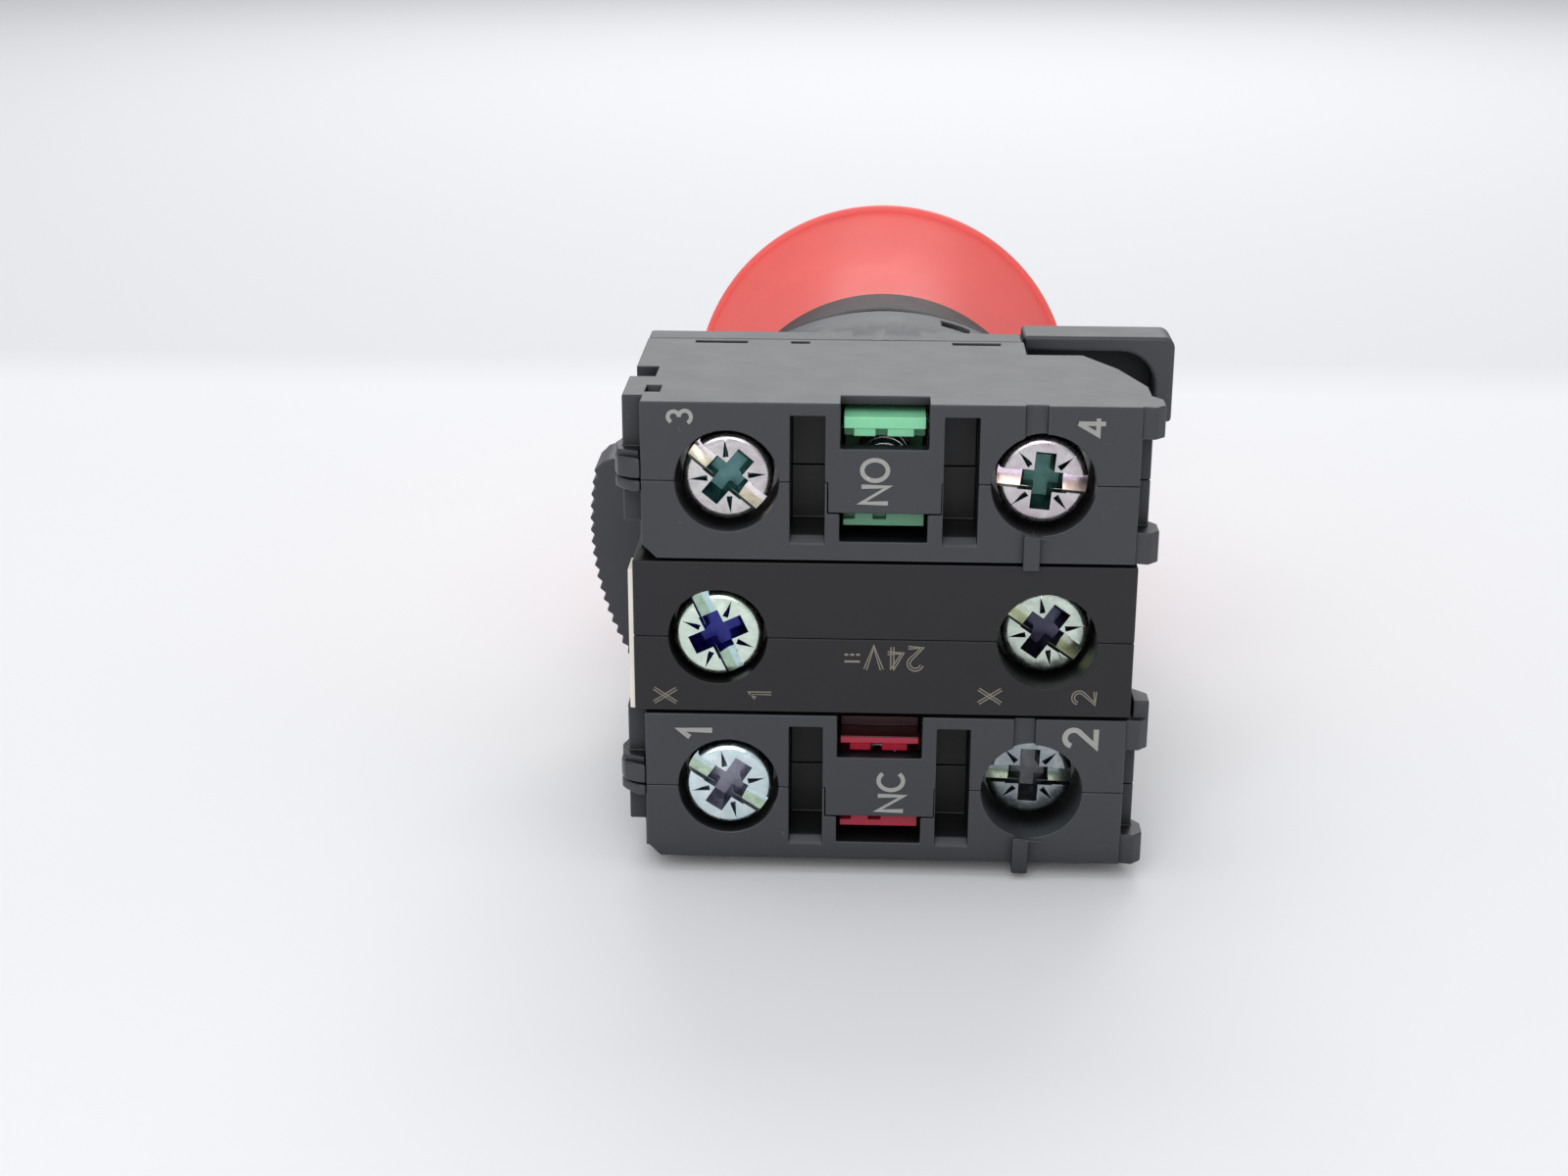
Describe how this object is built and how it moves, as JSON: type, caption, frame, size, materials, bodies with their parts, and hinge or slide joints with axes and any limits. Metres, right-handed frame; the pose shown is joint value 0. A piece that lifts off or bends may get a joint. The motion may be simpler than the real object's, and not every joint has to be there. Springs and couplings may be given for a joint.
{
  "type": "emergency stop push button",
  "caption": "Illuminated mushroom-head emergency stop button for a 22 mm panel hole, with latch, contact blocks and a lamp module.",
  "frame": {"origin": "on the operator axis, in the plane where the gasket meets the panel", "axes": "+Y along the operator axis out of the panel towards the head, -Y towards the terminals, +Z towards the normally open block, +X towards the even-numbered terminals"},
  "size_m": [0.0399, 0.0704, 0.032],
  "materials": {
    "head_red": "translucent moulded polycarbonate, glossy",
    "diffuser_white": "milky moulded plastic",
    "spring_steel": "drawn wire",
    "stem_black": "moulded",
    "seal_rubber": "moulded rubber",
    "operator_black": "fine-grained moulding",
    "latch_grey": "fine-grained moulding",
    "transfer_ivory": "moulded",
    "block_grey": "fine-grained moulding",
    "plunger_green": "moulded",
    "plunger_red": "moulded",
    "contact_bronze": "stamped",
    "terminal_brass": "stamped",
    "clamp_steel": "zinc plated",
    "screw_zinc": "zinc plated, thin iridescent film",
    "lamp_grey": "fine-grained moulding",
    "board_green": "solder mask",
    "resistor_tan": "lacquered",
    "led_clear": "clear epoxy"
  },
  "bodies": {
    "root": {"return_spring": "spring_steel", "detent_spring": "spring_steel", "stem_seal": "seal_rubber", "bezel": "operator_black", "panel_gasket": "seal_rubber", "operator_body": "operator_black", "mounting_nut": "operator_black", "latch_frame": "latch_grey", "no_shell_upper": "block_grey", "no_shell_lower": "block_grey", "no_return_spring": "spring_steel", "no_terminals": "terminal_brass", "no_clamp_plates": "clamp_steel", "no_terminal_screws": "screw_zinc", "nc_shell_upper": "block_grey", "nc_shell_lower": "block_grey", "nc_return_spring": "spring_steel", "nc_terminals": "terminal_brass", "nc_clamp_plates": "clamp_steel", "nc_terminal_screws": "screw_zinc", "lamp_shell_upper": "lamp_grey", "lamp_shell_lower": "lamp_grey", "lamp_board": "board_green", "lamp_resistors": "resistor_tan", "lamp_tower": "transfer_ivory", "lamp_led": "led_clear", "lamp_terminals": "terminal_brass", "lamp_clamp_plates": "clamp_steel", "lamp_terminal_screws": "screw_zinc"},
    "stem": {"actuator_stem": "stem_black", "light_diffuser": "diffuser_white", "retaining_ring": "spring_steel"},
    "head": {"mushroom_head": "head_red", "twist_spring": "spring_steel"},
    "transfer": {"transfer_plate": "transfer_ivory"},
    "no_moving": {"no_plunger": "plunger_green", "no_contact_bridge": "contact_bronze", "no_contact_spring": "spring_steel"},
    "nc_moving": {"nc_plunger": "plunger_red", "nc_contact_bridge": "contact_bronze", "nc_contact_spring": "spring_steel"},
    "lever": {"locking_lever": "latch_grey"}
  },
  "joints": [
    {"name": "head_push", "type": "slide", "parent": "root", "child": "stem", "axis": [0, -1, 0], "range_m": [0, 0.005], "stiffness_N_per_m": 1500, "springref_m": -0.003, "deforming": ["return_spring"]},
    {"name": "head_twist", "type": "hinge", "parent": "stem", "child": "head", "pos_m": [0, 0.012, 0], "axis": [0, -1, 0], "range_deg": [0, 45], "stiffness_Nm_per_rad": 0.02, "deforming": ["twist_spring"]},
    {"name": "transfer_slide", "type": "slide", "parent": "root", "child": "transfer", "axis": [0, -1, 0], "range_m": [0, 0.005]},
    {"name": "no_contact_slide", "type": "slide", "parent": "root", "child": "no_moving", "axis": [0, -1, 0], "range_m": [0, 0.005], "stiffness_N_per_m": 150, "springref_m": -0.002, "deforming": ["no_return_spring"]},
    {"name": "nc_contact_slide", "type": "slide", "parent": "root", "child": "nc_moving", "axis": [0, -1, 0], "range_m": [0, 0.005], "stiffness_N_per_m": 150, "springref_m": -0.002, "deforming": ["nc_return_spring"]},
    {"name": "lever_turn", "type": "hinge", "parent": "root", "child": "lever", "pos_m": [0, -0.0073, 0], "axis": [0, 1, 0], "range_deg": [0, 28]}
  ],
  "couplings": [
    {"joint": "transfer_slide", "follows": "head_push", "ratio": 1},
    {"joint": "no_contact_slide", "follows": "head_push", "ratio": 1},
    {"joint": "nc_contact_slide", "follows": "head_push", "ratio": 1}
  ]
}
